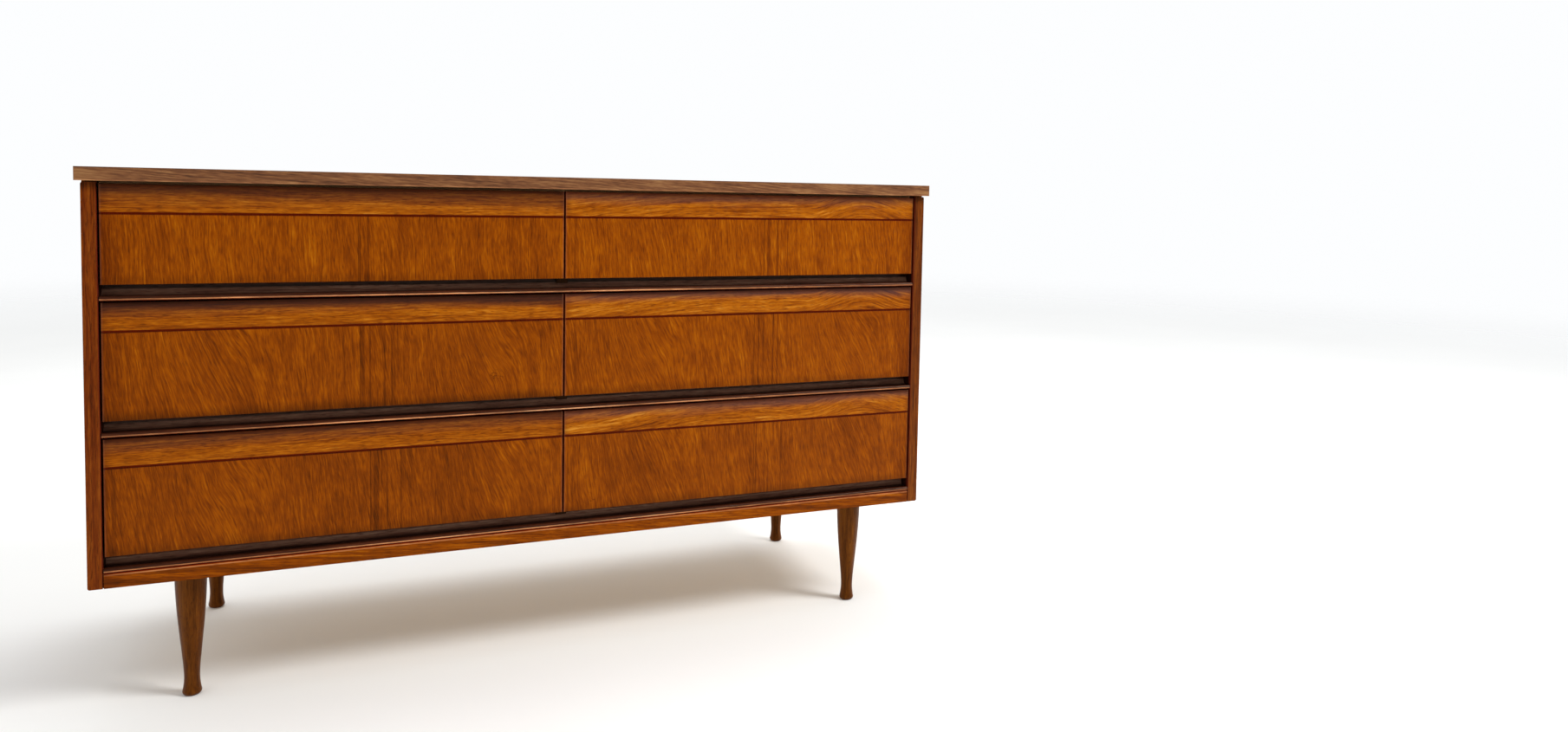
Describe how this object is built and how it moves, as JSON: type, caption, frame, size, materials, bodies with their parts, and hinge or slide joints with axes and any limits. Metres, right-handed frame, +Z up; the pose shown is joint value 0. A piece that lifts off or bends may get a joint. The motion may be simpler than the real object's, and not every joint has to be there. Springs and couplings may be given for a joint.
{
  "type": "double dresser with drawers",
  "caption": "Low wide dresser: drawers side by side in rows, pulled by their lower edges over dark troughs in the rails, on turned legs.",
  "frame": {"origin": "on the floor, under the middle of the top", "axes": "+Z up, +X to the right as one faces the drawers, +Y to the back, so the drawers slide out along -Y"},
  "size_m": [1.321, 0.457, 0.775],
  "materials": {
    "front_veneer": "satin lacquered walnut veneer, grain upright",
    "band_wood": "satin lacquered hardwood, grain across",
    "side_veneer": "satin lacquered walnut veneer, grain upright",
    "edge_wood": "satin lacquered solid walnut, grain upright",
    "apron_wood": "satin lacquered solid walnut, grain across",
    "rail_wood": "dark stained hardwood with a worn nose",
    "stained_wood": "dark stained hardwood",
    "laminate": "wood-grain plastic laminate, satin",
    "core_board": "raw particle board",
    "secondary_wood": "raw planed softwood",
    "drawer_wood": "clear sealed hardwood",
    "hardboard": "brown hardboard, smooth side in",
    "leg_wood": "satin lacquered turned hardwood",
    "steel": "zinc plated, dull",
    "nylon": "white nylon"
  },
  "bodies": {
    "case": {"top_panel": "core_board", "top_laminate": "laminate", "top_edge_bands": "laminate", "side_panel_left": "side_veneer", "side_panel_right": "side_veneer", "side_lipping_left": "edge_wood", "side_lipping_right": "edge_wood", "front_rail_upper": "rail_wood", "front_rail_lower": "rail_wood", "front_rail_base": "rail_wood", "base_apron": "apron_wood", "top_batten_front": "secondary_wood", "top_batten_rear": "secondary_wood", "back_panel": "hardboard", "centre_partition": "secondary_wood", "rear_rails": "secondary_wood", "centre_stile": "stained_wood", "drawer_bearers": "secondary_wood", "centre_guides": "secondary_wood", "nylon_glides": "nylon", "top_cleats": "secondary_wood", "leg_front_left": "leg_wood", "leg_front_right": "leg_wood", "leg_rear_left": "leg_wood", "leg_rear_right": "leg_wood", "leg_plates": "steel", "leg_bolts": "steel", "plate_screws": "steel", "bottom_panel": "core_board", "back_nails": "steel"},
    "drawer_bottom_left": {"drawer_bottom_left_front": "front_veneer", "drawer_bottom_left_band": "band_wood", "drawer_bottom_left_box": "drawer_wood", "drawer_bottom_left_bottom": "hardboard", "drawer_bottom_left_guide_strips": "secondary_wood"},
    "drawer_bottom_right": {"drawer_bottom_right_front": "front_veneer", "drawer_bottom_right_band": "band_wood", "drawer_bottom_right_box": "drawer_wood", "drawer_bottom_right_bottom": "hardboard", "drawer_bottom_right_guide_strips": "secondary_wood"},
    "drawer_middle_left": {"drawer_middle_left_front": "front_veneer", "drawer_middle_left_band": "band_wood", "drawer_middle_left_box": "drawer_wood", "drawer_middle_left_bottom": "hardboard", "drawer_middle_left_guide_strips": "secondary_wood"},
    "drawer_middle_right": {"drawer_middle_right_front": "front_veneer", "drawer_middle_right_band": "band_wood", "drawer_middle_right_box": "drawer_wood", "drawer_middle_right_bottom": "hardboard", "drawer_middle_right_guide_strips": "secondary_wood"},
    "drawer_top_left": {"drawer_top_left_front": "front_veneer", "drawer_top_left_band": "band_wood", "drawer_top_left_box": "drawer_wood", "drawer_top_left_bottom": "hardboard", "drawer_top_left_guide_strips": "secondary_wood"},
    "drawer_top_right": {"drawer_top_right_front": "front_veneer", "drawer_top_right_band": "band_wood", "drawer_top_right_box": "drawer_wood", "drawer_top_right_bottom": "hardboard", "drawer_top_right_guide_strips": "secondary_wood"}
  },
  "joints": [
    {"name": "drawer_bottom_left_slide", "type": "slide", "parent": "case", "child": "drawer_bottom_left", "axis": [0, -1, 0], "range_m": [0, 0.3]},
    {"name": "drawer_bottom_right_slide", "type": "slide", "parent": "case", "child": "drawer_bottom_right", "axis": [0, -1, 0], "range_m": [0, 0.3]},
    {"name": "drawer_middle_left_slide", "type": "slide", "parent": "case", "child": "drawer_middle_left", "axis": [0, -1, 0], "range_m": [0, 0.3]},
    {"name": "drawer_middle_right_slide", "type": "slide", "parent": "case", "child": "drawer_middle_right", "axis": [0, -1, 0], "range_m": [0, 0.3]},
    {"name": "drawer_top_left_slide", "type": "slide", "parent": "case", "child": "drawer_top_left", "axis": [0, -1, 0], "range_m": [0, 0.3]},
    {"name": "drawer_top_right_slide", "type": "slide", "parent": "case", "child": "drawer_top_right", "axis": [0, -1, 0], "range_m": [0, 0.3]}
  ]
}
